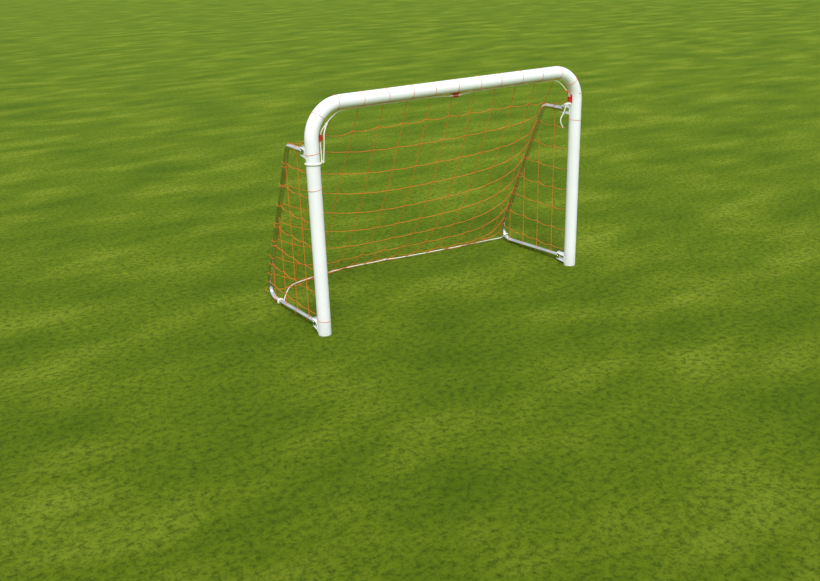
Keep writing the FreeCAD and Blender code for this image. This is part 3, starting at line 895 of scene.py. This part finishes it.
def build_rear_net(ropes):
    """The net from the crossbar, over the top rear corners, to the rope on the ground."""
    net = Net()
    grid = {}
    edges = {side: edge_places(side) for side in (-1, 1)}
    for column in range(COLUMNS + 1):
        u = 2 * column / COLUMNS - 1
        x = u * POST_X
        side = -1 if u < 0 else 1
        bar = crossbar_axis(x)
        top = bar + Vector(NET_LEAVES_BAR) * (POST_RADIUS + TWINE_RADIUS)
        hem = hem_place(x, ropes)
        for row in range(ROWS + 1):
            at_edge = column in (0, COLUMNS)
            edge = edges[side][row]
            lean = abs(u) ** EDGE_PULL if row else 0.0
            place = top.lerp(hem, row / ROWS).lerp(edge, lean)
            place.x = x
            if at_edge:
                place = edge
            held = row in (0, ROWS) or (at_edge and row != 1)
            grid[column, row] = net.add(place, held)
    for column in range(COLUMNS + 1):
        for row in range(ROWS + 1):
            if row < ROWS:
                net.tie(grid[column, row], grid[column, row + 1], DROP_SLACK)
            if column < COLUMNS and row > 0:
                net.tie(grid[column, row], grid[column + 1, row])
    net.hang()
    return net, grid


def build_side_net(side):
    """The net inside one side frame: columns from the post back, rows up the post. Every column
    but the one on the post runs from the foot bar to the bar above it."""
    net = Net()
    front = POST_Y + POST_RADIUS + TWINE_RADIUS
    columns = [front + SIDE_MESH * c for c in range(SIDE_COLUMNS)]
    rows = [SIDE_LOW_ROW + SIDE_ROW_STEP * r for r in range(SIDE_ROWS)]
    x = side * POST_X
    clear = BAR_RADIUS + TWINE_RADIUS
    knots = {}
    rings = []
    for c, y in enumerate(columns):
        for r, z in enumerate(rows):
            if y < slant_y(z) - KNOT_TO_BAR and z < TOP_BAR_Z - KNOT_TO_BAR:
                knots[c, r] = net.add((x, y, z), held=(c == 0))
    for c, y in enumerate(columns):
        inside = [r for r in range(len(rows)) if (c, r) in knots]
        for low, high in zip(inside, inside[1:]):
            net.tie(knots[c, low], knots[c, high], DROP_SLACK)
        if not inside or c == 0:
            continue
        foot = net.add((x, y, foot_bar_z(y) + clear), held=True)
        net.tie(foot, knots[c, inside[0]])
        rings.append((Vector((x, y, foot_bar_z(y))), Vector(FOOT_DIRECTION), BAR_RADIUS))
        if y < TOP_BAR_END_Y:
            head_z = TOP_BAR_Z - clear
            rings.append((Vector((x, y, TOP_BAR_Z)), Vector((0, 1, 0)), BAR_RADIUS))
        else:
            fall = (y - TOP_CORNER[0]) / (FOOT_CORNER[0] - TOP_CORNER[0])
            slant_z = TOP_CORNER[1] - fall * (TOP_CORNER[1] - FOOT_CORNER[1])
            head_z = slant_z - BELOW_SLANT * clear
        head = net.add((x, y, head_z), held=True)
        net.tie(knots[c, inside[-1]], head)
    for r, z in enumerate(rows):
        inside = [c for c in range(len(columns)) if (c, r) in knots]
        for near, far in zip(inside, inside[1:]):
            net.tie(knots[near, r], knots[far, r])
        if inside:
            back = net.add((x, slant_y(z) - clear, z), held=True)
            net.tie(knots[inside[-1], r], back)
            rings.append((Vector((x, slant_y(z), z)), Vector(SLANT_DIRECTION), BAR_RADIUS))
    for z in POST_TURNS[side]:
        rings.append((from_post(x, 0, z), Vector((0, 0, 1)), POST_RADIUS))
    net.hang()
    return net, knots, rings


def strand_tubes(strands, net, chosen):
    for chain in chosen:
        line = smooth_line([net.places[index] for index in chain], 4)
        strands.tube(line, TWINE_RADIUS)


def twine_knot(strands, place):
    strands.knot(place, TWINE_KNOT_SIZE, TWINE_RADIUS, random_turn(), sides=5, parts=24)


def lacing_ring(strands, centre, axis, radius):
    """One turn of twine round a bar, slightly slack and askew."""
    line = ring_round(centre, axis, radius + LACING_RADIUS, wobble=0.05, tilt=0.004)
    for point in line:
        point.z = max(point.z, LACING_RADIUS)
    strands.tube(line, LACING_RADIUS, closed=True)


def set_blend(piece, weight_at):
    """Work out a weight for each point of a piece. The weights are only computed: nothing stores or
    applies them.
    """
    weights = [weight_at(vertex.co) for vertex in piece.data.vertices]


def smooth_step(t):
    t = min(max(t, 0.0), 1.0)
    return t * t * (3 - 2 * t)


def rear_weight(place):
    """How far a point of the rear net follows its side frame. The part that follows widens from
    a narrow strip at the crossbar to half of the goal at the ground."""
    fall = (CROSSBAR_Z - place.z) / CROSSBAR_Z
    inboard = max(0.0, POST_X - abs(place.x) - 2 * BAR_RADIUS)
    behind_post = (place.y - POST_Y - POST_RADIUS) / (HINGE_Y - POST_Y)
    width = FOLLOW_WIDTH + FOLLOW_GROWTH * fall
    return (smooth_step(fall / FOLLOW_START) * smooth_step(behind_post)
            * smooth_step(1 - inboard / width))


def make_rear_half(side, side_name, net, grid, material):
    strands = Strands()
    half = COLUMNS // 2
    owned = range(0, half + 1) if side < 0 else range(half, COLUMNS + 1)
    names = {index: key for key, index in grid.items()}
    for chain in net.strands:
        first, last = names[chain[0]], names[chain[-1]]
        middle_column = first[0] == last[0] == half
        if first[0] in owned and last[0] in owned and not (middle_column and side > 0):
            strand_tubes(strands, net, [chain])
    for (column, row), index in grid.items():
        if column in owned and not (column == half and side > 0):
            place = net.places[index]
            twine_knot(strands, place)
            if column in (0, COLUMNS) and row > CORNER_ROW:
                lacing_ring(strands, (side * POST_X, slant_y(place.z), place.z),
                            SLANT_DIRECTION, BAR_RADIUS)
            if row == ROWS:
                lacing_ring(strands, place, (1, 0.1, 0), ROPE_RADIUS)
    piece = strands.to_object(side_name + "_rear_netting", material)
    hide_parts("rear_net", "top_net", side_name + "_top_side_net")
    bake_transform(piece)
    set_blend(piece, rear_weight)


def make_side_netting(side, side_name, material):
    net, knots, rings = build_side_net(side)
    strands = Strands()
    strand_tubes(strands, net, net.strands)
    for index in knots.values():
        twine_knot(strands, net.places[index])
    for centre, axis, radius in rings:
        lacing_ring(strands, centre, axis, radius)
    piece = strands.to_object(side_name + "_side_netting", material)
    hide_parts(side_name + "_side_net")
    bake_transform(piece)


def make_crossbar_lacing(net, grid, material):
    """The turns that hold the net's top edge to the crossbar, and the runs between them."""
    strands = Strands()
    under = Vector(LACING_RUN_SIDE).normalized() * (POST_RADIUS + LACING_RADIUS)
    places = [net.places[grid[column, 0]].x for column in range(1, COLUMNS)]
    for x in places:
        axis = Vector((1, 0, 0)) if abs(x) < BEND_X else Vector((1, 0, -BEND_LACING_LEAN * x))
        lacing_ring(strands, crossbar_axis(x), axis, POST_RADIUS)
    for x, next_x in zip(places, places[1:]):
        run = [crossbar_axis(x + (next_x - x) * t) + under for t in (0, 0.25, 0.5, 0.75, 1)]
        run[2].z -= random.uniform(0.001, 0.005)
        strands.tube(smooth_line(run, 5), LACING_RADIUS)
    for side in (-1, 1):
        across = math.sin(BEND_LACING_ANGLE)
        axis = Vector((math.cos(BEND_LACING_ANGLE), 0, -side * across))
        place = crossbar_axis(side * (BEND_X + BEND_RADIUS * across))
        lacing_ring(strands, place, axis, POST_RADIUS)
    whipping = turns_round(from_post(*WHIPPING_PLACE), WHIPPING_DIRECTION,
                           ROPE_RADIUS + TWINE_RADIUS, 8, 2.1 * TWINE_RADIUS)
    strands.tube(whipping, TWINE_RADIUS)
    piece = strands.to_object("crossbar_lacing", material)
    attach(piece, "main_frame")


make_camera()
make_sky()
make_floor()

white_rope = twisted_yarn("braided_white_rope", (0.80, 0.75, 0.60), (0.92, 0.88, 0.76), 2.0, 0.6)
ground_knot = make_ground_knot(white_rope)
left_rope_line = make_ground_rope("left", LEFT_GROUND_ROUTE, white_rope)
right_rope_line = make_ground_rope("right", RIGHT_GROUND_ROUTE, white_rope)
make_tail(white_rope)
make_border_rope(white_rope)

orange_twine = twisted_yarn("orange_twine", (0.76, 0.12, 0.005), (0.88, 0.21, 0.012), 1.0, 0.55)
rear_net, rear_grid = build_rear_net((left_rope_line, right_rope_line))
for side, side_name in ((-1, "left"), (1, "right")):
    make_rear_half(side, side_name, rear_net, rear_grid, orange_twine)
    make_side_netting(side, side_name, orange_twine)
make_crossbar_lacing(rear_net, rear_grid, orange_twine)

paint = powder_coat()
steel = bright_steel()
for side, side_name in ((-1, "left"), (1, "right")):
    make_foot_tie(side, side_name, white_rope)
    make_eye_welds(side, side_name, steel)
make_bracket_welds(paint)

NODE_MATERIALS = (
    (paint, ("main_frame_tube", "bracket")),
    (steel, ("side_tube", "eye")),
    (zinc_plate(), ("hinge_bolts", "hinge_nuts", "hinge_washers")),
    (plain_aluminium(), ("hook_rivets",)),
    (moulded_plastic("nylon", (0.62, 0.61, 0.56), (0.70, 0.69, 0.64), 0.4), ("bushes",)),
    (moulded_plastic("red_plastic", (0.42, 0.012, 0.012), (0.62, 0.03, 0.02), 0.2), ("net_hook",)))

for node_name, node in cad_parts.items():
    for material, keys in NODE_MATERIALS:
        if any(key in node_name for key in keys):
            for slot in node.material_slots:
                slot.material = material
